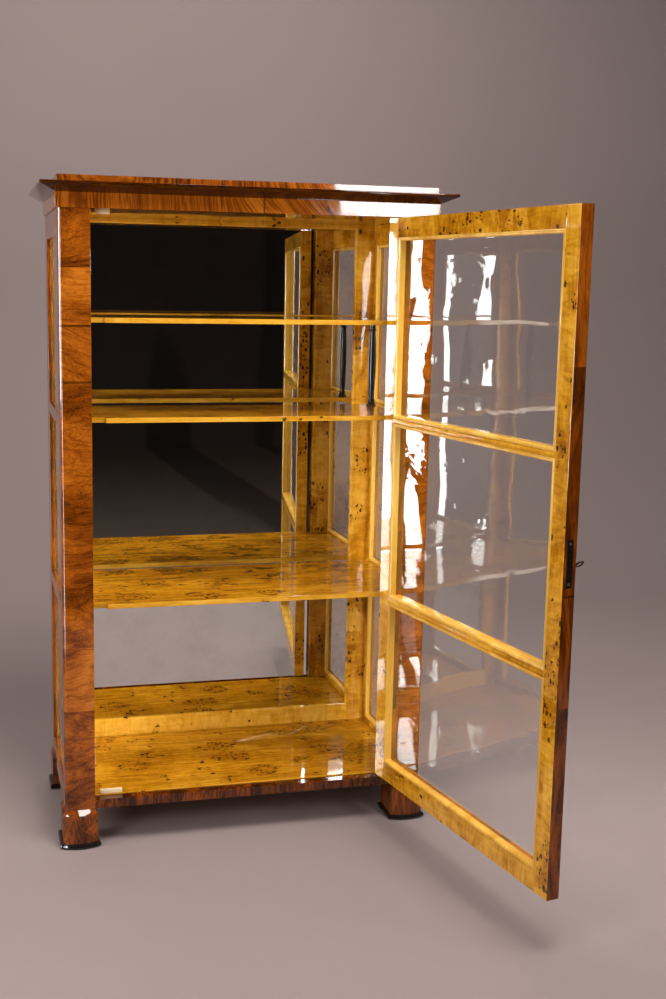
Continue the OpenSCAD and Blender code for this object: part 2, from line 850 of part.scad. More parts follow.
module door_bars() {
    color(burl) opened() for (z = bar_zs) {
        door_member(z - bar_w / 2, z + bar_w / 2, rebate_w, rebate_w);
        // Rib between the beads, which starts and ends at the stiles' cores
        translate([-door_pane_x - rebate_w, front + door_t, z]) rotate([90, 0, 90])
            linear_extrude(2 * (door_pane_x + rebate_w)) rib_section(bar_w - 2 * rebate_w);
    }
}

module door_pane(i) {
    g = rebate_w - pane_gap;
    y0 = front + door_lip_t;
    color(glass) opened() block([-door_pane_x - g, y0, door_pane_zs[i][0] - g],
                                [door_pane_x + g, y0 + glass_t, door_pane_zs[i][1] + g]);
}

module door_pane_top() {
    door_pane(2);
}

module door_pane_middle() {
    door_pane(1);
}

module door_pane_bottom() {
    door_pane(0);
}

module door_beads() {
    t = door_t - door_lip_t - glass_t + bead_proud;
    color(burl) opened() for (s = door_pane_zs)
        translate([0, front + door_lip_t + glass_t, (s[0] + s[1]) / 2]) rotate([90, 0, 180])
            bead_ring(2 * door_pane_x, s[1] - s[0], t);
}

// ---- Lock and key ----
module lock_case() {
    x0 = -door_x + lock_plate_t;
    w = case_wall;
    color(iron) opened() difference() {
        block([x0, case_y, lock_z - case_h / 2], [x0 + case_d, case_y + case_t, lock_z + case_h / 2]);
        block([x0 + w, case_y + w, lock_z - case_h / 2 + w],
              [x0 + case_d - w, case_y + case_t - w, lock_z + case_h / 2 - w]);
        block([x0 - 1, bolt_layer_y - bolt_gap, lock_z - bolt_h / 2 - bolt_gap],
              [x0 + w + 1, bolt_layer_y + bolt_t + bolt_gap, lock_z + bolt_h / 2 + bolt_gap]);
        along_key(case_y - 1, case_y + w + 1) keyhole(shank_r + pin_fit, bit_t + 0.6, bit_reach + 0.6);
    }
}

module lock_plate() {
    color(iron) opened() difference() {
        block([-door_x, front + plate_y, lock_z - plate_l / 2],
              [-door_x + lock_plate_t, front + plate_y + plate_w, lock_z + plate_l / 2]);
        block([-door_x - 1, bolt_layer_y - bolt_gap, lock_z - bolt_h / 2 - bolt_gap],
              [-door_x + lock_plate_t + 1, bolt_layer_y + bolt_t + bolt_gap, lock_z + bolt_h / 2 + bolt_gap]);
        for (s = [-1, 1])
            translate([-door_x, bolt_y, lock_z + s * screw_z]) rotate([0, 90, 0]) plate_screw();
    }
}

// Countersunk screw whose head lies flush
module plate_screw() {
    translate([0, 0, -0.01]) cylinder(r1 = 3.4, r2 = 1.6, h = 1.81);
    translate([0, 0, 1.79]) cylinder(r = 1.6, h = lock_plate_t - 1.79);
}

module lock_screws() {
    color(iron) opened() for (s = [-1, 1])
        translate([-door_x, bolt_y, lock_z + s * screw_z]) rotate([0, 90, 0]) difference() {
            plate_screw();
            // Slot for a screwdriver
            translate([-4, -0.4, -1]) cube([8, 0.8, 1.6]);
        }
}

module escutcheon() {
    color(brass) opened() along_key(front, front + 2) difference() {
        keyhole(keyhole_r + 2, keyhole_w + 4, bit_reach + 3.5);
        keyhole(keyhole_r, keyhole_w, bit_reach + 1.5);
    }
}

module lock_bolt() {
    color(iron) opened()
        block([-door_x, bolt_layer_y, lock_z - bolt_h / 2],
              [-door_x + bolt_l, bolt_layer_y + bolt_t, lock_z + bolt_h / 2]);
}

// Half of the bow: a rounded end and one straight side, above the axis
module half_bow() {
    translate([0, 0, bow_side / 2]) rotate([0, 90, 0]) intersection() {
        rotate_extrude() translate([bow_r, 0]) circle(r = bow_wire_r);
        translate([-2 * bow_r, -2 * bow_r, -bow_r]) cube([2 * bow_r, 4 * bow_r, 2 * bow_r]);
    }
    for (s = [-1, 1])
        translate([0, s * bow_r, -0.01]) cylinder(r = bow_wire_r, h = bow_side / 2 + 0.02);
}

module key() {
    bow_y = front - bow_out;
    color(iron) opened() translate([key_x, 0, key_z]) rotate([0, -key_turned, 0])
        translate([-key_x, 0, -key_z]) {
            // Shank with a collar, from the bow to the bit
            along_key(bow_y + bow_r, key_end_y) circle(r = shank_r);
            along_key(bow_y + bow_r + 3, bow_y + bow_r + 6) circle(r = shank_r + 1.2);
            translate([key_x, bow_y, key_z]) {
                half_bow();
                mirror([0, 0, 1]) half_bow();
            }
            // Bit with one ward cut
            difference() {
                block([key_x - bit_t / 2, bit_y, key_z - bit_reach], [key_x + bit_t / 2, key_end_y, key_z]);
                block([key_x - bit_t, bit_y + bit_t * 0.35, key_z - bit_reach * 0.75],
                      [key_x + bit_t, bit_y + bit_t * 0.65, key_z - bit_reach * 0.5]);
            }
        }
}

front_post_left();
front_post_right();
color(walnut) rear_post();  // rear_post_left
color(walnut) on_right() rear_post();  // rear_post_right
color(walnut) side_top_rail();  // side_top_rail_left
color(walnut) on_right() side_top_rail();  // side_top_rail_right
color(walnut) side_bottom_rail();  // side_bottom_rail_left
color(walnut) on_right() side_bottom_rail();  // side_bottom_rail_right
color(burl) side_bars();  // side_bars_left
color(burl) on_right() side_bars();  // side_bars_right
color(glass) side_panes();  // side_panes_left
color(glass) on_right() side_panes();  // side_panes_right
color(burl) side_beads();  // side_beads_left
color(burl) on_right() side_beads();  // side_beads_right
front_rail();
floor_board();
roof_board();
frieze_front();
color(walnut) frieze_side();  // frieze_left
color(walnut) on_right() frieze_side();  // frieze_right
cornice();
top_plate();
back_panel();
mirror_glass();
color(burl) mirror_stile();  // mirror_stile_left
color(burl) on_right() mirror_stile();  // mirror_stile_right
mirror_bottom_rail();
mirror_top_rail();
shelf_upper();
shelf_middle();
shelf_lower();
shelf_battens();
color(ebony) column();  // column_left
color(ebony) on_right() column();  // column_right
door_stops();
color(walnut) front_foot();  // foot_front_left
color(walnut) on_right() front_foot();  // foot_front_right
color(walnut) rear_foot();  // foot_rear_left
color(walnut) on_right() rear_foot();  // foot_rear_right
front_pads();
rear_pads();
strike_plate();
hinge_leaves_frame();
hinge_leaves_door();
door_stile_hinge();
door_stile_lock();
door_rail_top();
door_rail_bottom();
door_bars();
door_pane_top();
door_pane_middle();
door_pane_bottom();
door_beads();
lock_case();
lock_plate();
lock_screws();
escutcheon();
lock_bolt();
key();
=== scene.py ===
import math
import random
import bmesh
import bpy
from mathutils import Matrix, Vector


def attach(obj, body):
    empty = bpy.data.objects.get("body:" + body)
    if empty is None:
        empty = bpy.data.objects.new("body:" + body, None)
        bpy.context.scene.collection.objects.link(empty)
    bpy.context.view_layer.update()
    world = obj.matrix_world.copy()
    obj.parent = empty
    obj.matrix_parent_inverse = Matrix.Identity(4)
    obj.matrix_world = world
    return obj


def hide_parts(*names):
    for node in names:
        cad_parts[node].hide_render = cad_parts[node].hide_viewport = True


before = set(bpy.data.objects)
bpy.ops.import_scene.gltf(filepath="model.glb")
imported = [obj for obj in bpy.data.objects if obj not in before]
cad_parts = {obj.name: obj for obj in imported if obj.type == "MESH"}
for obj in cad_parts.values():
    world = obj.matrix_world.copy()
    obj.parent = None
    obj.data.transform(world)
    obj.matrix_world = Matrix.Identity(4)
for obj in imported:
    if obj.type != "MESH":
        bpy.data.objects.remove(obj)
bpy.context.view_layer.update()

print("frame loaded:", len(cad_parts), "nodes")

# The door is stored open by this angle, about a pivot given in metres
doorPose = {"openAngle": 100, "pivot": (0.359, -0.2195, 0)}

camera = {
    "place": (-0.6497, -3.1766, 1.3482),
    "yaw": 14.62,  # degrees to the right of +Y
    "pitch": 9.25,  # degrees downwards
    "roll": 0.98,
    "sensor": 36,
    "lens": 46.22,
    "shift": (0.0327, -0.0065),
    "clip": (0.05, 60),
}


def placeCamera(values):
    data = bpy.data.cameras.new("studioCamera")
    data.sensor_fit = "VERTICAL"
    data.sensor_height = values["sensor"]
    data.lens = values["lens"]
    data.shift_x, data.shift_y = values["shift"]
    data.clip_start, data.clip_end = values["clip"]
    yaw, pitch, roll = (math.radians(values[k]) for k in ("yaw", "pitch", "roll"))
    ahead = Vector((math.sin(yaw) * math.cos(pitch), math.cos(yaw) * math.cos(pitch), -math.sin(pitch)))
    level = Vector((math.cos(yaw), -math.sin(yaw), 0))
    upright = level.cross(ahead)
    right = level * math.cos(roll) + upright * math.sin(roll)
    up = upright * math.cos(roll) - level * math.sin(roll)
    turn = Matrix((right, up, -ahead)).transposed()
    eye = bpy.data.objects.new("studioCamera", data)
    bpy.context.scene.collection.objects.link(eye)
    eye.matrix_world = Matrix.Translation(values["place"]) @ turn.to_4x4()
    bpy.context.scene.camera = eye


placeCamera(camera)
print("camera placed")


# Short ways to build node trees: a value is either a socket to link or a constant
def plug(tree, socket, value):
    if isinstance(value, bpy.types.NodeSocket):
        tree.links.new(value, socket)
    else:
        socket.default_value = value


def put(tree, kind, settings=None, inputs=None):
    node = tree.nodes.new("ShaderNode" + kind)
    for key, value in (settings or {}).items():
        setattr(node, key, value)
    for key, value in (inputs or {}).items():
        plug(tree, node.inputs[key], value)
    return node


def calc(tree, operation, a, b=0.0):
    return put(tree, "Math", {"operation": operation}, {0: a, 1: b}).outputs[0]


def vec(tree, operation, a, b=(0, 0, 0), result=0):
    return put(tree, "VectorMath", {"operation": operation}, {0: a, 1: b}).outputs[result]


def scaled(tree, vector, factor):
    return put(tree, "VectorMath", {"operation": "SCALE"}, {0: vector, "Scale": factor}).outputs[0]


def split(tree, vector):
    return put(tree, "SeparateXYZ", None, {0: vector}).outputs


def join(tree, parts):
    return put(tree, "CombineXYZ", None, dict(enumerate(parts))).outputs[0]


def channels(tree, colour):
    return put(tree, "SeparateColor", None, {0: colour}).outputs


def addPart(tree, base, value, weight):
    # Adds a 0 to 1 value around its middle, weighted
    return calc(tree, "ADD", base, calc(tree, "MULTIPLY", calc(tree, "SUBTRACT", value, 0.5), weight))


def remap(tree, value, low, high, toLow=0.0, toHigh=1.0, smooth=False):
    return put(tree, "MapRange", {"interpolation_type": "SMOOTHSTEP" if smooth else "LINEAR"}, {
        "Value": value, "From Min": low, "From Max": high, "To Min": toLow, "To Max": toHigh}).outputs[0]


def blend(tree, factor, a, b):
    node = put(tree, "Mix", {"data_type": "RGBA"})
    for index, value in ((0, factor), (6, a), (7, b)):  # the sockets of a mix of colours
        plug(tree, node.inputs[index], value)
    return node.outputs[2]


def noise(tree, vector, scale, detail=2.0, roughness=0.5, distortion=0.0):
    return put(tree, "TexNoise", None, {
        "Vector": vector, "Scale": scale, "Detail": detail, "Roughness": roughness, "Distortion": distortion}).outputs


def stray(tree, vector, spread, amount):
    # A push to all sides, drawn from the colour of a noise
    around = vec(tree, "SUBTRACT", noise(tree, vector, *spread)["Color"], (0.5, 0.5, 0.5))
    return scaled(tree, around, amount)


def stretched(tree, vector, shape):
    return vec(tree, "MULTIPLY", vector, shape)


def ramp(tree, factor, stops, interpolation="LINEAR"):
    node = put(tree, "ValToRGB", None, {"Fac": factor})
    band = node.color_ramp
    band.interpolation = interpolation
    while len(band.elements) < len(stops):
        band.elements.new(0.5)
    for element, (position, colour) in zip(band.elements, stops):
        element.position = position
        element.color = (*colour, 1)
    return node.outputs[0]


def addBump(tree, shader, height, distance):
    bump = put(tree, "Bump", None, {"Strength": 1.0, "Distance": distance, "Height": height})
    plug(tree, shader.inputs["Normal"], bump.outputs[0])


def newGroup(name, inputs, outputs):
    tree = bpy.data.node_groups.new(name, "ShaderNodeTree")
    tree.interface.new_socket(name="Vector", in_out="INPUT", socket_type="NodeSocketVector")
    for socketName, value in inputs.items():
        socket = tree.interface.new_socket(name=socketName, in_out="INPUT", socket_type="NodeSocketFloat")
        socket.default_value = value
    for socketName in outputs:
        tree.interface.new_socket(name=socketName, in_out="OUTPUT", socket_type="NodeSocketFloat")
    return tree, tree.nodes.new("NodeGroupInput").outputs, tree.nodes.new("NodeGroupOutput").inputs


def closeGroup(tree, out, values):
    for name, value in values.items():
        tree.links.new(value, out[name])
    return tree


def useGroup(tree, group, inputs):
    node = tree.nodes.new("ShaderNodeGroup")
    node.node_tree = group
    for key, value in inputs.items():
        plug(tree, node.inputs[key], value)
    return node.outputs


def seeded(tree, given):
    return vec(tree, "ADD", given["Vector"], join(tree, [given["Seed"]] * 3))


# Effects that several materials share. In all of them the grain runs along X of the vector.
# A noise is written as scale, detail, roughness and distortion, and without the scale where that is an input
walnutParts = {
    "slow": (3.5, 1.0),
    "quick": (15.0, 3.0),
    "figure": (6.0, 0.62, 0.7),
    "drawn": (1.5, 0.45),
    "fibre": (480.0, 3.0, 0.65),
    "pores": (900.0, 1.0),
    "drawnShape": (0.06, 1, 1),
    "fibreShape": (0.04, 1, 1),
    "poreShape": (0.07, 1, 1),
    "lineEdge": (0.15, 1.0),
    "poreEdge": (0.6, 0.72),
    "fibreHeight": 0.4,
    "poreDepth": 0.8,
}


def buildWalnutFigure(parts):
    tree, given, out = newGroup("walnutFigure", {
        "Figure Size": 9.0, "Stretch": 2.6, "Swirl": 0.08, "Curl": 0.012, "Line Size": 24.0, "Line Count": 7.0,
        "Line Width": 0.3, "Seed": 0.0}, ("Figure", "Lines", "Fibre", "Pores", "Height"))
    moved = seeded(tree, given)
    slow = stray(tree, moved, parts["slow"], given["Swirl"])
    quick = stray(tree, moved, parts["quick"], given["Curl"])
    bent = vec(tree, "ADD", moved, vec(tree, "ADD", slow, quick))
    thin = join(tree, (calc(tree, "DIVIDE", 1.0, given["Stretch"]), 1.0, 1.0))
    figure = noise(tree, stretched(tree, bent, thin), given["Figure Size"], *parts["figure"])[0]
    # Growth lines follow the level lines of a noise drawn out along the grain
    drawn = noise(tree, stretched(tree, bent, parts["drawnShape"]), given["Line Size"], *parts["drawn"])[0]
    nearLine = calc(tree, "PINGPONG", calc(tree, "MULTIPLY", drawn, given["Line Count"]), 0.5)
    away = remap(tree, calc(tree, "DIVIDE", nearLine, given["Line Width"]), *parts["lineEdge"])
    fibre = noise(tree, stretched(tree, bent, parts["fibreShape"]), *parts["fibre"])[0]
    pores = remap(tree, noise(tree, stretched(tree, bent, parts["poreShape"]), *parts["pores"])[0], *parts["poreEdge"])
    height = calc(tree, "SUBTRACT", calc(tree, "MULTIPLY", fibre, parts["fibreHeight"]),
                  calc(tree, "MULTIPLY", pores, parts["poreDepth"]))
    return closeGroup(tree, out, {
        "Figure": figure, "Lines": calc(tree, "SUBTRACT", 1.0, away), "Fibre": fibre, "Pores": pores, "Height": height})


burlParts = {
    # Clusters: cells of a Voronoi pattern, each with its own reach
    "clusterStray": (26.0, 2.0),
    "clusterPush": 0.07,
    "clusterShape": (0.75, 1, 1),
    "clusterReach": (0.16, 0.42),
    "haloEdge": (-0.10, 0.08),
    # Knots: smaller cells, which darken inside a cluster and now and then alone
    "knotStray": (170.0, 2.0),
    "knotPush": 0.008,
    "knotShape": (0.62, 1, 1),
    "knotRadius": (0.12, 0.56),
    "radiusPower": 1.4,
    "knotEdge": (-0.05, 0.08),
    "chanceWeight": 0.6,
    "chanceNear": 0.80,
    "chanceAlone": 0.994,
    # The figure, which flows round the clusters
    "flow": (12.0, 3.0),
    "flowPush": 0.03,
    "flowNearClusters": 0.04,
    "clouds": (4.0, 0.55, 0.8),
    "curl": (3.0, 0.55, 1.2),
    "streaks": (120.0, 4.0, 0.65),
    "cloudShape": (0.6, 1, 1),
    "curlShape": (1.6, 0.5, 0.5),
    "streakShape": (0.05, 1, 1),
}


def buildBurlFigure(parts):
    # Clouds of amber, long fine streaks and clusters of small dark knots
    tree, given, out = newGroup("burlFigure", {
        "Cloud Size": 8.0, "Curl Size": 30.0, "Knot Size": 125.0, "Cluster Size": 11.0, "Knot Amount": 0.6,
        "Seed": 0.0}, ("Clouds", "Curl", "Streaks", "Knots", "Halo"))
    moved = seeded(tree, given)

    def cells(spread, push, shape, size):
        strayed = vec(tree, "ADD", moved, stray(tree, moved, parts[spread], parts[push]))
        return put(tree, "TexVoronoi", {"feature": "F1"}, {
            "Vector": stretched(tree, strayed, parts[shape]), "Scale": given[size]}).outputs

    cluster = cells("clusterStray", "clusterPush", "clusterShape", "Cluster Size")
    reach = remap(tree, channels(tree, cluster["Color"])[1], 0.0, 1.0, *parts["clusterReach"])
    reach = calc(tree, "MULTIPLY", reach, given["Knot Amount"])
    halo = remap(tree, calc(tree, "SUBTRACT", reach, cluster["Distance"]), *parts["haloEdge"], smooth=True)
    knot = cells("knotStray", "knotPush", "knotShape", "Knot Size")
    chosen = channels(tree, knot["Color"])[0]
    radius = remap(tree, calc(tree, "POWER", chosen, parts["radiusPower"]), 0.0, 1.0, *parts["knotRadius"])
    spot = remap(tree, calc(tree, "SUBTRACT", radius, knot["Distance"]), *parts["knotEdge"])
    chance = calc(tree, "ADD", halo, calc(tree, "MULTIPLY", chosen, parts["chanceWeight"]))
    near = calc(tree, "GREATER_THAN", chance, parts["chanceNear"])
    alone = calc(tree, "GREATER_THAN", chosen, parts["chanceAlone"])
    knots = calc(tree, "MULTIPLY", spot, calc(tree, "MAXIMUM", near, alone))
    push = calc(tree, "ADD", parts["flowPush"], calc(tree, "MULTIPLY", halo, parts["flowNearClusters"]))
    bent = vec(tree, "ADD", moved, stray(tree, moved, parts["flow"], push))
    clouds = noise(tree, stretched(tree, bent, parts["cloudShape"]), given["Cloud Size"], *parts["clouds"])[0]
    curl = noise(tree, stretched(tree, bent, parts["curlShape"]), given["Curl Size"], *parts["curl"])[0]
    streaks = noise(tree, stretched(tree, bent, parts["streakShape"]), *parts["streaks"])[0]
    return closeGroup(tree, out, {"Clouds": clouds, "Curl": curl, "Streaks": streaks, "Knots": knots, "Halo": halo})


polishParts = {
    "slow": (1.5, 0.4),
    "fine": (140.0, 2.0),
    "fineHeight": 0.010,
    "grainHeight": 0.010,
    "rubbed": (24.0, 5.0, 0.7),
    "rubbedShape": (0.5, 1, 1),
    "rubbedEdge": (0.38, 0.75),
}


def buildPolish(parts):
    # Slow waves of a hand-rubbed polish, and patches that are rubbed duller
    tree, given, out = newGroup("polishSurface", {"Wave Size": 9.0, "Grain Height": 0.0}, ("Height", "Rubbed"))
    slow = noise(tree, given["Vector"], given["Wave Size"], *parts["slow"])[0]
    fine = noise(tree, given["Vector"], *parts["fine"])[0]
    height = calc(tree, "ADD", slow, calc(tree, "MULTIPLY", fine, parts["fineHeight"]))
    height = calc(tree, "ADD", height, calc(tree, "MULTIPLY", given["Grain Height"], parts["grainHeight"]))
    rubbed = noise(tree, stretched(tree, given["Vector"], parts["rubbedShape"]), *parts["rubbed"])[0]
    return closeGroup(tree, out, {"Height": height, "Rubbed": remap(tree, rubbed, *parts["rubbedEdge"])})


paneParts = {
    "bend": (1.0, 0.4, 0.5),
    "patches": (4.0, 1.0),
    "patchEdge": (0.44, 0.60),
    "ripple": (38.0, 1.0, 0.4, 1.2),
    "rippleShape": (0.4, 1, 1),
    "seedScale": 8.0,
    "seedReach": (0.03, 0.20),
    "seedHeight": 0.12,
    "smears": (9.0, 6.0, 0.7),
    "smearEdge": (0.45, 0.8),
}


def buildPaneWaves(parts):
    # Old drawn glass: long bends of the sheet, ripples that run across, and seeds that bend the glass round them
    tree, given, out = newGroup("paneWaves", {"Wave Size": 5.0, "Ripple": 0.12, "Seeds": 1.0},
                                ("Bend", "Ripples", "Smears"))
    x, y, z = split(tree, given["Vector"])
    place = join(tree, (calc(tree, "ADD", x, y), z))
    slow = noise(tree, place, given["Wave Size"], *parts["bend"])[0]
    patches = remap(tree, noise(tree, place, *parts["patches"])[0], *parts["patchEdge"], smooth=True)
    ripple = noise(tree, stretched(tree, place, parts["rippleShape"]), *parts["ripple"])[0]
    cell = put(tree, "TexVoronoi", {"voronoi_dimensions": "2D"}, {"Vector": place, "Scale": parts["seedScale"]}).outputs
    reach = remap(tree, channels(tree, cell["Color"])[0], 0.0, 1.0, *parts["seedReach"])
    seed = remap(tree, calc(tree, "DIVIDE", cell["Distance"], reach), 0.0, 1.0, 1.0, 0.0, smooth=True)
    ripples = calc(tree, "MULTIPLY", calc(tree, "MULTIPLY", ripple, patches), given["Ripple"])
    seeds = calc(tree, "MULTIPLY", calc(tree, "MULTIPLY", seed, given["Seeds"]), parts["seedHeight"])
    smears = remap(tree, noise(tree, place, *parts["smears"])[0], *parts["smearEdge"])
    return closeGroup(tree, out, {"Bend": slow, "Ripples": calc(tree, "ADD", ripples, seeds), "Smears": smears})


walnutFigure, burlFigure = buildWalnutFigure(walnutParts), buildBurlFigure(burlParts)
polish, paneWaves = buildPolish(polishParts), buildPaneWaves(paneParts)
print("shared effects built")


def newMaterial(name):
    material = bpy.data.materials.new(name)
    material.use_nodes = True
    tree = material.node_tree
    return material, tree, tree.nodes["Principled BSDF"]


def objectSpace(tree, body):
    # Place and facing of a point. On the door both are those of the closed door, with the place taken from the pivot
    source = put(tree, "TexCoord").outputs
    place, facing = source["Object"], source["Normal"]
    if body == "door":
        angle = math.radians(doorPose["openAngle"])
        place = put(tree, "Mapping", {"vector_type": "TEXTURE"}, {
            "Vector": place, "Location": doorPose["pivot"], "Rotation": (0, 0, angle)}).outputs[0]
        facing = put(tree, "VectorRotate", {"rotation_type": "Z_AXIS"}, {"Vector": facing, "Angle": -angle}).outputs[0]
    return place, facing


def along(tree, place, axis):
    # Turns a place so that the grain's axis comes first
    if axis == "X":
        return place
    parts = split(tree, place)
    return join(tree, [parts[k] for k in {"Z": (2, 1, 0), "Y": (1, 0, 2)}[axis]])


leaf = {"seedSpread": 7.0, "jointHalfWidth": 0.0006}


def leafJoints(tree, place, values):
    # Leaves of veneer between joints: a seed and a tone for each leaf, and the fine line of each joint
    low, high = values["span"]
    run = remap(tree, split(tree, place)["XYZ".index(values["jointAxis"])], low, high)
    draw = random.Random(values["draw"])
    cuts = [(cut - low) / (high - low) for cut in values["joints"]]
    leaves = [(position, (draw.random(), draw.random(), 0)) for position in [0.0] + cuts]
    drawn = channels(tree, ramp(tree, run, leaves, "CONSTANT"))
    half = leaf["jointHalfWidth"] / (high - low)
    marks = [(0.0, (0, 0, 0))]
    for cut in cuts:
        marks += [(cut - half, (1, 1, 1)), (cut + half, (0, 0, 0))]
    line = channels(tree, ramp(tree, run, marks, "CONSTANT"))[0]
    return calc(tree, "MULTIPLY", drawn[0], leaf["seedSpread"]), drawn[1], line


def layVeneer(tree, place, turned, group, values):
    # The shared figure on one piece or on its leaves. Inputs that aren't given keep the group's own values
    seed, tone, line = values["seed"], 0.5, None
    if "joints" in values:
        leafSeed, tone, line = leafJoints(tree, place, values)
        seed = calc(tree, "ADD", leafSeed, seed)
    given = {socket: values[key] for key, socket in values["inputs"].items() if key in values}
    found = useGroup(tree, group, {"Vector": along(tree, turned, values["grain"]), "Seed": seed, **given})
    return found, tone, line


# Walnut veneer. Each piece may give its own value for any of these
walnut = {
    "shades": ((0.020, 0.005, 0.0006), (0.085, 0.018, 0.0012), (0.185, 0.040, 0.0025), (0.31, 0.078, 0.005),
               (0.50, 0.155, 0.014)),
    "stops": (0.30, 0.41, 0.50, 0.60, 0.74),
    "inputs": {"size": "Figure Size", "stretch": "Stretch", "swirl": "Swirl", "curl": "Curl",
               "lineSize": "Line Size", "lineCount": "Line Count", "lineWidth": "Line Width"},
    "grain": "X",
    "seed": 0.0,
    "contrast": 0.75,
    "fibre": 0.2,
    "leafTone": 0.1,
    "tone": 0.0,
    "lines": 0.03,
    "poreTone": 0.4,
    "jointTone": 0.7,
    "floorShadeReach": (0.05, 0.75),  # heights between which the painted shade towards the floor fades
}


def walnutColour(tree, place, given):
    values = {**walnut, **given}
    black = (*values["shades"][0], 1)
    parts = split(tree, place)
    turned = place
    if "lean" in values:
        # The figure leans by a slope that changes from left to right
        slope = remap(tree, parts[0], *values["lean"], smooth=True)
        turned = vec(tree, "ADD", place, join(tree, (calc(tree, "MULTIPLY", parts[2], slope),)))
    found, tone, line = layVeneer(tree, place, turned, walnutFigure, values)
    shade = addPart(tree, 0.5, found["Figure"], values["contrast"])
    shade = addPart(tree, shade, found["Fibre"], values["fibre"])
    shade = addPart(tree, shade, tone, values["leafTone"])
    shade = calc(tree, "ADD", shade, values["tone"])
    if "paintedFloorShade" in values:
        # Painted shade: darker towards the floor
        fade = remap(tree, parts[2], *values["floorShadeReach"], values["paintedFloorShade"], 0.0, smooth=True)
        shade = calc(tree, "ADD", shade, fade)
    shade = calc(tree, "SUBTRACT", shade, calc(tree, "MULTIPLY", found["Lines"], values["lines"]))
    colour = ramp(tree, shade, list(zip(values["stops"], values["shades"])))
    colour = blend(tree, calc(tree, "MULTIPLY", found["Pores"], values["poreTone"]), colour, black)
    if line:
        colour = blend(tree, calc(tree, "MULTIPLY", line, values["jointTone"]), colour, black)
    return colour, found["Height"]


# Golden burl veneer. Each piece may give its own value for any of these
burl = {
    "shades": ((0.20, 0.065, 0.002), (0.36, 0.135, 0.004), (0.53, 0.235, 0.010), (0.67, 0.335, 0.028),
               (0.80, 0.46, 0.075)),
    "stops": (0.28, 0.41, 0.51, 0.61, 0.76),
    "inputs": {"knotSize": "Knot Size", "clusterSize": "Cluster Size", "knots": "Knot Amount"},
    "knot": (0.040, 0.010, 0.0015, 1),
    "grain": "X",
    "seed": 0.0,
    "clouds": 0.8,
    "curl": 0.35,
    "streaks": 0.3,
    "tone": 0.0,
    "haloTone": 0.06,
    "knotTone": 0.94,
}


def burlColour(tree, place, given):
    values = {**burl, **given}
    found = layVeneer(tree, place, place, burlFigure, values)[0]
    shade = 0.5
    for part in ("Clouds", "Curl", "Streaks"):
        shade = addPart(tree, shade, found[part], values[part.lower()])
    shade = calc(tree, "ADD", shade, values["tone"])
    shade = calc(tree, "SUBTRACT", shade, calc(tree, "MULTIPLY", found["Halo"], values["haloTone"]))
    colour = ramp(tree, shade, list(zip(values["stops"], values["shades"])))
    colour = blend(tree, calc(tree, "MULTIPLY", found["Knots"], values["knotTone"]), colour, values["knot"])
    return colour, found["Streaks"]


# French polish over all the wood
frenchPolish = {"gloss": (0.025, 0.07), "depth": 0.0006, "ior": 1.5}


def finishPolish(tree, shader, place, colour, grainHeight, values):
    surface = useGroup(tree, polish, {"Vector": place, "Grain Height": grainHeight})
    low, high = values.get("gloss", frenchPolish["gloss"])
    plug(tree, shader.inputs["Base Color"], colour)
    plug(tree, shader.inputs["Roughness"], remap(tree, surface["Rubbed"], 0.0, 1.0, low, high))
    addBump(tree, shader, surface["Height"], frenchPolish["depth"])
    shader.inputs["IOR"].default_value = frenchPolish["ior"]


veneerColours = {"walnut": walnutColour, "burl": burlColour}
facingEdge = (0.6, 0.8)  # how squarely a face looks in a direction to count as turned that way


def veneer(name, values, kind, body="cabinet"):
    material, tree, shader = newMaterial(name)
    place = objectSpace(tree, body)[0]
    colour, height = veneerColours[kind](tree, place, values)
    finishPolish(tree, shader, place, colour, height, values)
    return material


def facedVeneer(name, values, body="cabinet"):
    # One veneer outside, and burl on the faces that look in the directions given
    material, tree, shader = newMaterial(name)
    place, facing = objectSpace(tree, body)
    outside, height = veneerColours[values.get("kind", "walnut")](tree, place, values["outside"])
    inside = burlColour(tree, place, values["inside"])[0]
    mask = 0.0
    for direction in values["inward"]:
        look = vec(tree, "DOT_PRODUCT", facing, direction, "Value")
        mask = calc(tree, "MAXIMUM", mask, remap(tree, look, *facingEdge))
    finishPolish(tree, shader, place, blend(tree, mask, outside, inside), height, values["outside"])
    return material


# Angles in degrees: below flat, faces are joined, above arris, an edge is rounded, and below shade, it is shaded smooth
easing = {"weld": 1e-6, "flat": 0.5, "arris": 30, "shade": 20, "segments": 2}


def softCopy(name, width, body):
    # A copy of a piece with its arrises rounded over, which stands for it
    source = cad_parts[name]
    mesh = bpy.data.meshes.new(name + "_eased")
    build = bmesh.new()
    build.from_mesh(source.data)
    bmesh.ops.remove_doubles(build, verts=build.verts, dist=easing["weld"])
    bmesh.ops.dissolve_limit(build, angle_limit=math.radians(easing["flat"]), verts=build.verts, edges=build.edges)
    arrises = [e for e in build.edges if e.is_manifold and e.calc_face_angle(0) > math.radians(easing["arris"])]
    bmesh.ops.bevel(build, geom=arrises, offset=width, offset_type="OFFSET", segments=easing["segments"], profile=0.5,
                    affect="EDGES", clamp_overlap=True)
    for face in build.faces:
        face.smooth = True
    for edge in build.edges:
        edge.smooth = edge.is_manifold and edge.calc_face_angle(0) < math.radians(easing["shade"])
    build.to_mesh(mesh)
    build.free()
    piece = bpy.data.objects.new(name + "_eased", mesh)
    bpy.context.scene.collection.objects.link(piece)
    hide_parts(name)
    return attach(piece, body)


def dressPieces(names, material, soft=0.0, body="cabinet"):
    # A soft width above 0 dresses an eased copy instead of the piece
    for name in names:
        piece = softCopy(name, soft, body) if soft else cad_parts[name]
        piece.data.materials.clear()
        piece.data.materials.append(material)
    print("dressed:", ", ".join(names))


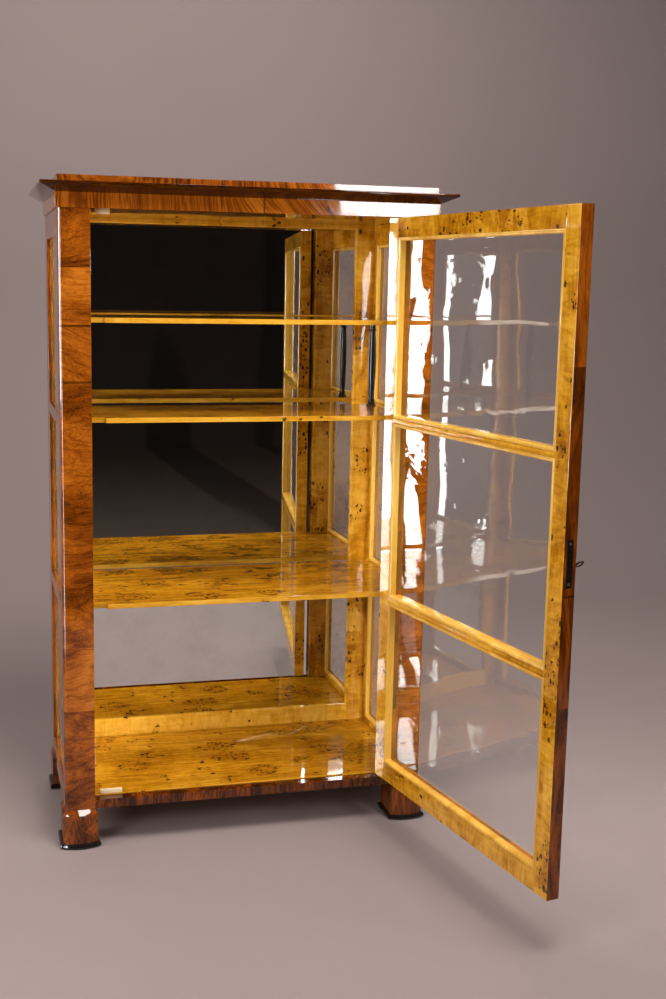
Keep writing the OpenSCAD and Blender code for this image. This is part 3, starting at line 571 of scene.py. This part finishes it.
# Front posts: veneer in leaves laid across, burl on the faces towards the door opening
frontPosts = {
    "soft": 0.0008,
    "outside": {
        "grain": "X", "jointAxis": "Z", "joints": [0.193, 0.335, 0.493, 0.721, 0.93, 1.116, 1.244, 1.375],
        "span": (0.09, 1.51), "draw": 5, "size": 10.0, "stretch": 2.8, "swirl": 0.18, "curl": 0.012, "contrast": 0.8,
        "lineSize": 17.0, "lineCount": 10.0, "lineWidth": 0.30, "lines": 0.055, "leafTone": 0.12, "tone": 0.055,
        # The last value here paints shade on the post, darker towards the floor
        "fibre": 0.42, "paintedFloorShade": -0.08},
    "inside": {"grain": "Z", "seed": 3.0, "knots": 1.1, "clusterSize": 9.5},
}
for name, towards in (("front_post_left", (1, 0, 0)), ("front_post_right", (-1, 0, 0))):
    values = {**frontPosts, "inward": [towards, (0, 1, 0)]}
    dressPieces([name], facedVeneer(name + "_veneer", values), frontPosts["soft"])

# Frieze, cornice and top plate: lines of the veneer stand upright and lean
top = {
    "soft": 0.0008,
    "frieze": {
        "grain": "Z", "jointAxis": "X", "joints": [-0.31, -0.155, 0.02, 0.17, 0.33], "span": (-0.5, 0.5), "draw": 11,
        "lean": (-0.36, -0.02, 0.0, 0.75), "size": 9.0, "stretch": 3.0, "swirl": 0.10, "curl": 0.004, "contrast": 0.4,
        "lineSize": 26.0, "lineCount": 9.0, "lineWidth": 0.36, "lines": 0.15, "tone": 0.115, "leafTone": 0.06},
    "cornice": {"grain": "X", "size": 6.0, "stretch": 8.0, "tone": -0.15, "lines": 0.03},
    "plate": {
        "grain": "Z", "jointAxis": "X", "joints": [-0.28, -0.1, 0.08, 0.26], "span": (-0.5, 0.5), "draw": 4,
        "lean": (-0.4, 0.3, 0.3, -0.6), "size": 16.0, "stretch": 2.0, "swirl": 0.12, "curl": 0.006, "contrast": 0.6,
        "lineSize": 26.0, "lineCount": 9.0, "lineWidth": 0.36, "lines": 0.12, "tone": 0.085, "seed": 2.0},
}
for names, key, name in (
        (["frieze_front", "frieze_left", "frieze_right"], "frieze", "friezeVeneer"),
        (["cornice"], "cornice", "corniceVeneer"),
        (["top_plate"], "plate", "topPlateVeneer")):
    dressPieces(names, veneer(name, top[key], "walnut"), top["soft"])

# Front rail and feet
base = {
    "soft": 0.0008,
    "rail": {
        "grain": "Z", "size": 14.0, "stretch": 2.0, "swirl": 0.12, "curl": 0.008, "contrast": 0.6, "lineSize": 30.0,
        "lineCount": 9.0, "lineWidth": 0.4, "lines": 0.10, "tone": -0.075, "seed": 6.0},
    "foot": {
        "grain": "Z", "size": 18.0, "stretch": 2.0, "swirl": 0.3, "contrast": 0.6, "lineSize": 28.0, "lineCount": 12.0,
        "lines": 0.07, "tone": -0.045, "seed": 9.0},
}
dressPieces(["front_rail"], veneer("frontRailVeneer", base["rail"], "walnut"), base["soft"])
dressPieces(["foot_front_left", "foot_front_right", "foot_rear_left", "foot_rear_right"],
            veneer("footVeneer", base["foot"], "walnut"), base["soft"])

# Side frames: walnut outside, burl inside, the grain along each member
sideFrame = {
    "soft": 0.0006,
    "upright": {"grain": "Z", "size": 10.0, "stretch": 4.0, "seed": 4.0, "lines": 0.06},
    "level": {"grain": "Y", "size": 10.0, "stretch": 4.0, "seed": 8.0, "lines": 0.06},
    "insideUpright": {"grain": "Z", "seed": 1.0, "knots": 1.0},
    "insideLevel": {"grain": "Y", "seed": 1.5, "knots": 0.6},
}
for hand, towards in (("left", (1, 0, 0)), ("right", (-1, 0, 0))):
    upright = {"outside": sideFrame["upright"], "inside": sideFrame["insideUpright"], "inward": [towards]}
    level = {"outside": sideFrame["level"], "inside": sideFrame["insideLevel"], "inward": [towards]}
    dressPieces(["rear_post_" + hand], facedVeneer("sideUpright_" + hand, upright), sideFrame["soft"])
    dressPieces(["side_top_rail_" + hand, "side_bottom_rail_" + hand], facedVeneer("sideRails_" + hand, level),
                sideFrame["soft"])
    dressPieces(["side_bars_" + hand], facedVeneer("sideBars_" + hand, level), sideFrame["soft"])

# Boards, shelves and the mirror's frame, all in burl, and the plain back. Floor and shelves have lipped edges
boards = {
    "soft": 0.0008,
    "floor": {"grain": "X", "seed": 5.0, "knots": 1.1, "tone": -0.07, "clouds": 0.3, "curl": 0.1, "streaks": 0.5},
    "roof": {"grain": "X", "seed": 7.0, "knots": 0.8, "tone": -0.02},
    "shelf": {"grain": "X", "seed": 11.0, "knots": 1.1, "tone": -0.065, "clouds": 0.3, "curl": 0.1, "streaks": 0.6},
    "lipping": {"grain": "X", "seed": 12.0, "knots": 0.45, "tone": 0.085, "clouds": 0.3, "curl": 0.1, "streaks": 0.5},
    "mirrorStile": {"grain": "Z", "seed": 13.0, "knots": 1.1, "clusterSize": 9.5, "tone": 0.03},
    "mirrorRail": {"grain": "X", "seed": 15.0, "knots": 0.6, "tone": 0.10, "clouds": 0.4},
    "back": {"grain": "Z", "size": 6.0, "stretch": 6.0, "tone": -0.05, "lines": 0.06, "gloss": (0.35, 0.5)},
}
edged = {"kind": "burl", "inside": boards["lipping"], "inward": [(0, 1, 0), (0, -1, 0)]}
dressPieces(["floor_board"], facedVeneer("floorBurl", {**edged, "outside": boards["floor"]}), boards["soft"])
dressPieces(["roof_board"], veneer("roofBurl", boards["roof"], "burl"), boards["soft"])
dressPieces(["shelf_upper", "shelf_middle", "shelf_lower"],
            facedVeneer("shelfBurl", {**edged, "outside": boards["shelf"]}), boards["soft"])
dressPieces(["mirror_stile_left", "mirror_stile_right"],
            veneer("mirrorStileBurl", boards["mirrorStile"], "burl"), boards["soft"])
dressPieces(["mirror_bottom_rail", "mirror_top_rail", "shelf_battens"],
            veneer("mirrorRailBurl", boards["mirrorRail"], "burl"), boards["soft"])
dressPieces(["back_panel"], veneer("backWood", boards["back"], "walnut"), boards["soft"])

# Door frame: golden burl inside, walnut outside and on the edges. The stiles' faces that look along +X of the closed
# door, the hinge edge among them, are in burl as painted light
doorBurl = {"clusterSize": 9.5, "knotSize": 118.0, "clouds": 0.6, "curl": 0.45}
doorFrame = {
    "soft": 0.0008,
    "stile": {
        "outside": {
            "grain": "Z", "jointAxis": "Z", "joints": [0.30, 0.52, 0.75, 0.951, 1.2], "span": (0.1, 1.51), "draw": 8,
            # The last value here paints shade on the stiles' walnut, darker towards the floor
            "size": 12.0, "stretch": 3.0, "lines": 0.06, "seed": 3.0, "tone": -0.02, "paintedFloorShade": -0.09},
        "inside": {**doorBurl, "grain": "Z", "seed": 17.0, "knots": 1.2, "tone": 0.02},
        # Painted light: the stiles' faces that look along +X of the closed door, the hinge edge among them, take the
        # paler burl, so that the hinge edge, which gets little light, looks lit
        "inward": [(0, 1, 0), (1, 0, 0)]},
    "rail": {
        "outside": {"grain": "Z", "size": 12.0, "stretch": 3.0, "lines": 0.05, "seed": 5.0},
        "inside": {**doorBurl, "grain": "X", "seed": 19.0, "knots": 0.95, "tone": -0.02},
        "inward": [(0, 1, 0)]},
    "bar": {"grain": "X", "seed": 21.0, "knots": 0.1, "tone": 0.03},
}
for names, key, name in (
        (["door_stile_hinge", "door_stile_lock"], "stile", "doorStileVeneer"),
        (["door_rail_top", "door_rail_bottom"], "rail", "doorRailVeneer")):
    dressPieces(names, facedVeneer(name, doorFrame[key], "door"), doorFrame["soft"], "door")
dressPieces(["door_bars"], veneer("doorBarVeneer", doorFrame["bar"], "burl", "door"), doorFrame["soft"], "door")

# Glazing beads in straight-grained pale wood, and the door stops in a paler one that is only waxed
plain = {"size": 14.0, "stretch": 9.0, "swirl": 0.02, "fibre": 0.3, "stops": (0.3, 0.52, 0.75)}
beads = {
    "soft": 0.0005,
    "shades": [(0.50, 0.23, 0.020), (0.68, 0.37, 0.050), (0.82, 0.53, 0.13)],
    "grain": "Z",
    "gloss": (0.06, 0.14),
}
stops = {
    "soft": 0.0006,
    "shades": [(0.66, 0.46, 0.24), (0.78, 0.60, 0.36), (0.86, 0.72, 0.50)],
    "grain": "X",
    "gloss": (0.35, 0.5),
}


def plainWood(name, values, body="cabinet"):
    material, tree, shader = newMaterial(name)
    place = objectSpace(tree, body)[0]
    found = useGroup(tree, walnutFigure, {
        "Vector": along(tree, place, values["grain"]), "Figure Size": plain["size"], "Stretch": plain["stretch"],
        "Swirl": plain["swirl"]})
    shade = addPart(tree, found["Figure"], found["Fibre"], plain["fibre"])
    colour = ramp(tree, shade, list(zip(plain["stops"], values["shades"])))
    finishPolish(tree, shader, place, colour, found["Height"], values)
    return material


dressPieces(["door_beads"], plainWood("doorBeadWood", beads, "door"), beads["soft"], "door")
dressPieces(["side_beads_left", "side_beads_right"], plainWood("sideBeadWood", beads), beads["soft"])
dressPieces(["door_stops"], plainWood("stopWood", stops), stops["soft"])

# Old glass, whose waves bend what it reflects
panes = {
    "tint": (0.97, 0.985, 0.98, 1),
    "waves": {"door": 0.0011, "cabinet": 0.0008},
    "bowRun": (-0.28, -0.05),  # places from the pivot between which the door's sheets sink by the bow
    "bow": 0.0045,
    "smear": 0.004,
    "ior": 1.5,
    "shadow": 0.06,  # how much of its shadow a pane keeps
}


def paneMaterial(name, body, values):
    material, tree, shader = newMaterial(name)
    place, facing = objectSpace(tree, body)
    waves = useGroup(tree, paneWaves, {"Vector": place})
    strength = values["waves"][body]
    bend = calc(tree, "MULTIPLY", waves["Bend"], strength)
    if body == "door":
        # The door's sheets are bowed beside the hinge
        run = split(tree, place)[0]
        bend = calc(tree, "ADD", bend, remap(tree, run, *values["bowRun"], values["bow"], 0.0, smooth=True))
    # Both faces of a sheet bend together, but each has its own ripples
    across = split(tree, facing)[1 if body == "door" else 0]
    height = calc(tree, "ADD", calc(tree, "MULTIPLY", bend, across), calc(tree, "MULTIPLY", waves["Ripples"], strength))
    addBump(tree, shader, height, 1.0)  # this height is in metres
    shader.inputs["Base Color"].default_value = values["tint"]
    plug(tree, shader.inputs["Roughness"], remap(tree, waves["Smears"], 0.0, 1.0, 0.0, values["smear"]))
    shader.inputs["Transmission Weight"].default_value = 1.0
    shader.inputs["IOR"].default_value = values["ior"]
    rays = put(tree, "LightPath").outputs
    plug(tree, shader.inputs["Alpha"], remap(tree, rays["Is Shadow Ray"], 0.0, 1.0, 1.0, values["shadow"]))
    return material


dressPieces(["door_pane_top", "door_pane_middle", "door_pane_bottom"], paneMaterial("doorGlass", "door", panes),
            0.0, "door")
dressPieces(["side_panes_left", "side_panes_right"], paneMaterial("sideGlass", "cabinet", panes))

mirror = {
    "silver": (0.80, 0.82, 0.80, 1),
    "dull": (0.66, 0.67, 0.63, 1),
    "gloss": (0.008, 0.03),
    "waveSize": 2.0,
    "waves": 0.0001,
}


def mirrorMaterial(name, values):
    material, tree, shader = newMaterial(name)
    place = objectSpace(tree, "cabinet")[0]
    waves = useGroup(tree, paneWaves, {"Vector": place, "Wave Size": values["waveSize"]})
    addBump(tree, shader, waves["Bend"], values["waves"])
    plug(tree, shader.inputs["Base Color"], blend(tree, waves["Smears"], values["silver"], values["dull"]))
    shader.inputs["Metallic"].default_value = 1.0
    plug(tree, shader.inputs["Roughness"], remap(tree, waves["Smears"], 0.0, 1.0, *values["gloss"]))
    return material


dressPieces(["mirror_glass"], mirrorMaterial("silveredGlass", mirror))

# Ebonised columns and pads
ebony = {
    "soft": 0.0001,  # of the columns
    "black": (0.006, 0.005, 0.0045, 1),
    "worn": (0.016, 0.012, 0.010, 1),
    "gloss": (0.05, 0.13),
    "waveSize": 30.0,
    "waves": 0.0003,
    "ior": 1.5,
}


def ebonyMaterial(name, values):
    material, tree, shader = newMaterial(name)
    place = objectSpace(tree, "cabinet")[0]
    surface = useGroup(tree, polish, {"Vector": place, "Wave Size": values["waveSize"]})
    plug(tree, shader.inputs["Base Color"], blend(tree, surface["Rubbed"], values["black"], values["worn"]))
    plug(tree, shader.inputs["Roughness"], remap(tree, surface["Rubbed"], 0.0, 1.0, *values["gloss"]))
    addBump(tree, shader, surface["Height"], values["waves"])
    shader.inputs["IOR"].default_value = values["ior"]
    return material


ebonised = ebonyMaterial("ebonisedWood", ebony)
for name in ("column_left", "column_right"):
    # Smooth copies, because the turned shaft comes in facets
    piece = softCopy(name, ebony["soft"], "cabinet")
    for face in piece.data.polygons:
        face.use_smooth = True
    piece.data.materials.append(ebonised)
dressPieces(["front_pads", "rear_pads"], ebonised)

# Fittings: bright where they are rubbed, dull and dark elsewhere
wear = {"detail": (5.0, 0.7), "edge": (0.42, 0.62), "waveSize": 120.0, "waves": 0.0002}
brass = {"dull": (0.16, 0.10, 0.04, 1), "bright": (0.58, 0.42, 0.17, 1), "patch": 60.0, "gloss": (0.5, 0.28)}
iron = {"dull": (0.014, 0.013, 0.012, 1), "bright": (0.05, 0.046, 0.042, 1), "patch": 90.0, "gloss": (0.5, 0.34)}
screws = {"dull": (0.30, 0.28, 0.26, 1), "bright": (0.62, 0.60, 0.57, 1), "patch": 200.0, "gloss": (0.35, 0.25)}


def metalMaterial(name, values):
    material, tree, shader = newMaterial(name)
    place = objectSpace(tree, "door")[0]
    surface = useGroup(tree, polish, {"Vector": place, "Wave Size": wear["waveSize"]})
    worn = remap(tree, noise(tree, place, values["patch"], *wear["detail"])[0], *wear["edge"])
    plug(tree, shader.inputs["Base Color"], blend(tree, worn, values["dull"], values["bright"]))
    plug(tree, shader.inputs["Roughness"], remap(tree, worn, 0.0, 1.0, *values["gloss"]))
    addBump(tree, shader, surface["Height"], wear["waves"])
    shader.inputs["Metallic"].default_value = 1.0
    return material


oldBrass, oldIron = metalMaterial("agedBrass", brass), metalMaterial("agedIron", iron)
dressPieces(["strike_plate", "hinge_leaves_frame"], oldBrass)
dressPieces(["hinge_leaves_door", "escutcheon"], oldBrass, 0.0, "door")
dressPieces(["lock_case", "lock_plate", "lock_bolt", "key"], oldIron, 0.0, "door")
dressPieces(["lock_screws"], metalMaterial("screwSteel", screws), 0.0, "door")

studio = {
    "colour": (0.295, 0.231, 0.219),
    "clouds": (1.3, 3.0),  # scale and detail of the paper's faint unevenness
    "uneven": 0.05,
    "roughness": 0.75,
    "specular": 0.2,
    # The dim room in front of the paper, which the camera and the glass don't see
    "paperEdge": (-2.4, -2.15),
    "dark": (0.056, 0.039, 0.030),
    "forms": (2.1, 1.0),
    "formShape": (1, 0.04, 0.12),
    "formEdge": (0.46, 0.53),
    "formTone": 0.45,
    # Where no lamp reaches, the camera and the glass still see pale paper
    "glow": 0.85,
    "glowCentre": (0, -0.6, 0),
    "glowReach": (2.6, 6.0),
    "glowDepth": (0.4, 1.4),  # it fades out towards the far wall
    "farWall": 3.2,
    "coveRadius": 1.4,
    "coveSteps": 16,
    "nearEdge": -6.9,
    "halfWidth": 7.0,
    "wallHeight": 6.0,
}


def cameraOrGlass(rays):
    return rays["Is Camera Ray"], rays["Is Transmission Ray"]


def paperMaterial(name, values):
    material, tree, shader = newMaterial(name)
    place = put(tree, "TexCoord").outputs["Object"]
    depth = split(tree, place)[1]
    colour = Vector(values["colour"])
    pale = blend(tree, noise(tree, place, *values["clouds"])[0], (*(colour * (1 - values["uneven"])), 1),
                 (*(colour * (1 + values["uneven"])), 1))
    looked = calc(tree, "MAXIMUM", *cameraOrGlass(put(tree, "LightPath").outputs))
    forms = noise(tree, stretched(tree, place, values["formShape"]), *values["forms"])[0]
    dim = blend(tree, remap(tree, forms, *values["formEdge"], smooth=True),
                (*(Vector(values["dark"]) * values["formTone"]), 1), (*values["dark"], 1))
    seen = calc(tree, "MAXIMUM", remap(tree, depth, *values["paperEdge"]), looked)
    plug(tree, shader.inputs["Base Color"], blend(tree, seen, dim, pale))
    away = vec(tree, "LENGTH", vec(tree, "SUBTRACT", place, values["glowCentre"]), result="Value")
    unlit = calc(tree, "MULTIPLY", remap(tree, away, *values["glowReach"], smooth=True),
                 remap(tree, depth, *values["glowDepth"], 1.0, 0.0))
    plug(tree, shader.inputs["Emission Color"], blend(tree, calc(tree, "MULTIPLY", unlit, looked), (0, 0, 0, 1), pale))
    shader.inputs["Emission Strength"].default_value = values["glow"]
    shader.inputs["Roughness"].default_value = values["roughness"]
    shader.inputs["Specular IOR Level"].default_value = values["specular"]
    return material


def buildBackdrop(values):
    # Floor and walls in one sheet, with a round cove between floor and far wall
    radius, wall, height, near = (values[k] for k in ("coveRadius", "farWall", "wallHeight", "nearEdge"))
    profile = [(near, height), (near, 0.0)]
    for step in range(values["coveSteps"] + 1):
        angle = math.pi / 2 * step / values["coveSteps"]
        profile.append((wall - radius + radius * math.sin(angle), radius - radius * math.cos(angle)))
    profile.append((wall, height))
    points = [(side * values["halfWidth"], y, z) for y, z in profile for side in (-1, 1)]
    faces = [(2 * i, 2 * i + 1, 2 * i + 3, 2 * i + 2) for i in range(len(profile) - 1)]
    mesh = bpy.data.meshes.new("studioSweep")
    mesh.from_pydata(points, [], faces)
    for face in mesh.polygons:
        face.use_smooth = face.center.y > near + 1  # all but the near wall
    sweep = bpy.data.objects.new("studioSweep", mesh)
    bpy.context.scene.collection.objects.link(sweep)
    mesh.materials.append(paperMaterial("studioPaper", values))


lampColour = (1.0, 0.98, 0.96)
lamps = {
    # name: place, target, width, height, power
    "softboxRight": ((1.31, -3.23, 2.095), (1.31, -0.2, 2.095), 0.52, 0.87, 38),
    "stripLeft": ((-1.5, -1.62, 0.80), (0, -1.62, 0.80), 0.46, 1.60, 60),
    "arrisCard": ((-1.96, -0.42, 1.36), (0, -0.42, 1.36), 0.80, 0.86, 56),
    "arrisStrip": ((-1.95, -0.42, 1.30), (0, -0.42, 1.30), 0.30, 0.84, 16),
    "glintHigh": ((-1.5, -1.06, 1.40), (0, -1.06, 1.40), 0.07, 0.34, 1.6),
    "glintMiddle": ((-1.5, -1.02, 0.94), (0, -1.02, 0.94), 0.07, 0.20, 1.0),
    "glintLow": ((-1.5, -0.98, 0.23), (0, -0.98, 0.23), 0.07, 0.24, 1.1),
    "leftFill": ((-2.3, -2.5, 1.7), (0.1, -0.4, 0.9), 1.1, 1.5, 55),
    "overhead": ((0.45, -1.45, 3.6), (0.0, -0.25, 0.4), 1.6, 1.1, 112),
    "backFill": ((0.0, 1.6, 3.6), (0.0, 2.4, 0.6), 3.6, 1.0, 45),
}
lampsUnseen = {
    # kind of ray: the lamps that it doesn't meet
    "visible_diffuse": ("arrisCard", "stripLeft"),
    "visible_glossy": ("leftFill",),
    "visible_transmission": ("leftFill", "arrisCard", "arrisStrip"),
}


def buildLamps(values):
    for name, (place, target, width, height, power) in values.items():
        data = bpy.data.lights.new(name, "AREA")
        data.shape = "RECTANGLE"
        data.size, data.size_y = width, height
        data.energy = power
        data.color = lampColour
        lamp = bpy.data.objects.new(name, data)
        bpy.context.scene.collection.objects.link(lamp)
        lamp.location = place
        lamp.rotation_euler = (Vector(target) - Vector(place)).to_track_quat("-Z", "Y").to_euler()
        for kind, unseen in lampsUnseen.items():
            setattr(lamp, kind, name not in unseen)


air = {"light": (0.8, 0.77, 0.76), "strength": 0.10, "seen": (0.26, 0.215, 0.205)}


def buildWorld(values):
    # Dim light from all round, which the camera and the glass see as pale as the paper
    world = bpy.data.worlds.new("studioAir")
    bpy.context.scene.world = world
    world.use_nodes = True
    tree = world.node_tree
    looked = calc(tree, "MAXIMUM", *cameraOrGlass(put(tree, "LightPath").outputs))
    dim = (*(Vector(values["light"]) * values["strength"]), 1)
    plug(tree, tree.nodes["Background"].inputs["Color"], blend(tree, looked, dim, (*values["seen"], 1)))
    tree.nodes["Background"].inputs["Strength"].default_value = 1.0


buildBackdrop(studio)
buildLamps(lamps)
buildWorld(air)
bpy.context.scene.view_settings.view_transform = "Standard"
print("studio ready")
